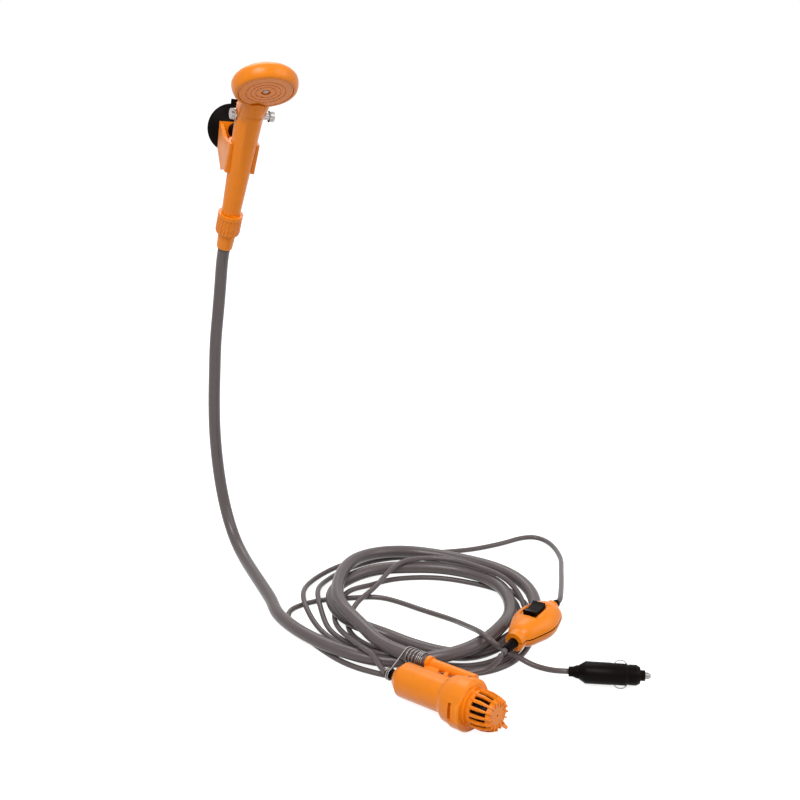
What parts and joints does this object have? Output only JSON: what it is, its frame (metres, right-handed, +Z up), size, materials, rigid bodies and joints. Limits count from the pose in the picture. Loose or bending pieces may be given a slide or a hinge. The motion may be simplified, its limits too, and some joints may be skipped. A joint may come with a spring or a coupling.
{
  "type": "camp shower pump",
  "caption": "Orange camp shower with a handset on a suction holder, coiled hose, submersible pump with slotted strainer, in-line rocker switch and vehicle power plug.",
  "frame": {"origin": "centre of the suction cup's sealing face, on the wall", "axes": "+Y into the wall, +Z up, +X to the right when facing the wall; the floor is 465 mm below the origin"},
  "size_m": [0.3464, 0.4812, 0.5449],
  "materials": {
    "orange_plastic": "semi-gloss moulded",
    "black_plastic": "satin moulded",
    "black_rubber": "soft satin",
    "hose_vinyl": "smooth glossy vinyl",
    "cable_vinyl": "smooth glossy vinyl",
    "chrome": "polished",
    "steel": "plain",
    "brass": "plain",
    "copper": "wound",
    "magnet": "sintered",
    "white_plastic": "satin moulded"
  },
  "bodies": {
    "base": {"holder": "orange_plastic", "pump_body": "orange_plastic", "switch_top": "orange_plastic", "switch_base": "orange_plastic", "end_bell": "black_plastic", "seal_plate": "black_plastic", "volute_plate": "black_plastic", "switch_module": "black_plastic", "plug_shell": "black_plastic", "plug_nose": "black_plastic", "suction_cup": "black_rubber", "cable_gland": "black_rubber", "shaft_seal": "black_rubber", "cap_seal": "black_rubber", "switch_gasket": "black_rubber", "switch_sleeve_front": "black_rubber", "switch_sleeve_rear": "black_rubber", "plug_boot": "black_rubber", "hose_drop": "hose_vinyl", "hose_coil": "hose_vinyl", "cable_coil": "cable_vinyl", "cable_lead": "cable_vinyl", "cable_tail": "cable_vinyl", "hose_spring": "steel", "motor_can": "steel", "rocker_pin": "steel", "switch_screws": "steel", "tip_spring": "steel", "shaft_bushings": "brass", "switch_contacts": "brass", "motor_magnets": "magnet", "brushes": "magnet"},
    "handset": {"handset_body": "orange_plastic", "spray_plate": "orange_plastic", "plate_seal": "black_rubber", "plate_screw": "steel", "nut_washer": "black_rubber", "hose_tail": "brass", "hose_ferrule": "orange_plastic"},
    "valve": {"valve_rod": "chrome", "valve_knob_right": "chrome", "valve_knob_left": "chrome", "valve_o_rings": "black_rubber"},
    "collar": {"collar_nut": "orange_plastic"},
    "rotor": {"armature": "copper", "commutator": "copper", "motor_shaft": "steel", "impeller": "black_plastic"},
    "strainer": {"strainer_cap": "orange_plastic"},
    "rocker_key": {"rocker": "black_plastic"},
    "plug_pin": {"plug_tip": "steel", "plug_fuse": "white_plastic"},
    "contact_upper": {"side_contact_upper": "steel"},
    "contact_lower": {"side_contact_lower": "steel"}
  },
  "joints": [
    {"name": "handset_lift", "type": "slide", "parent": "base", "child": "handset", "axis": [0.1324, -0.309, 0.9418], "range_m": [0, 0.045]},
    {"name": "valve_slide", "type": "slide", "parent": "handset", "child": "valve", "axis": [0.9903, 0, -0.1392], "range_m": [-0.005, 0]},
    {"name": "collar_turn", "type": "hinge", "parent": "handset", "child": "collar", "pos_m": [-0.01537, -0.0265, -0.09497], "axis": [0.1324, -0.309, 0.9418], "continuous": true},
    {"name": "rotor_spin", "type": "hinge", "parent": "base", "child": "rotor", "pos_m": [0.04295, -0.40849, -0.44537], "axis": [0.4364, -0.8947, 0.0958], "continuous": true},
    {"name": "strainer_twist", "type": "hinge", "parent": "base", "child": "strainer", "pos_m": [0.05954, -0.44248, -0.44172], "axis": [0.4364, -0.8947, 0.0958], "range_deg": [0, 25]},
    {"name": "rocker_tilt", "type": "hinge", "parent": "base", "child": "rocker_key", "pos_m": [0.17403, -0.36432, -0.42253], "axis": [-0.4631, 0.8754, -0.1389], "range_deg": [-9, 9]},
    {"name": "plug_pin_push", "type": "slide", "parent": "base", "child": "plug_pin", "axis": [0.8686, -0.4955, 0], "range_m": [-0.004, 0], "stiffness_N_per_m": 300, "springref_m": 0.002, "deforming": ["tip_spring"]},
    {"name": "contact_upper_push", "type": "slide", "parent": "base", "child": "contact_upper", "axis": [0.2698, 0.4731, 0.8387], "range_m": [-0.002, 0], "stiffness_N_per_m": 400, "springref_m": 0.001},
    {"name": "contact_lower_push", "type": "slide", "parent": "base", "child": "contact_lower", "axis": [-0.2698, -0.4731, -0.8387], "range_m": [-0.002, 0], "stiffness_N_per_m": 400, "springref_m": 0.001}
  ]
}
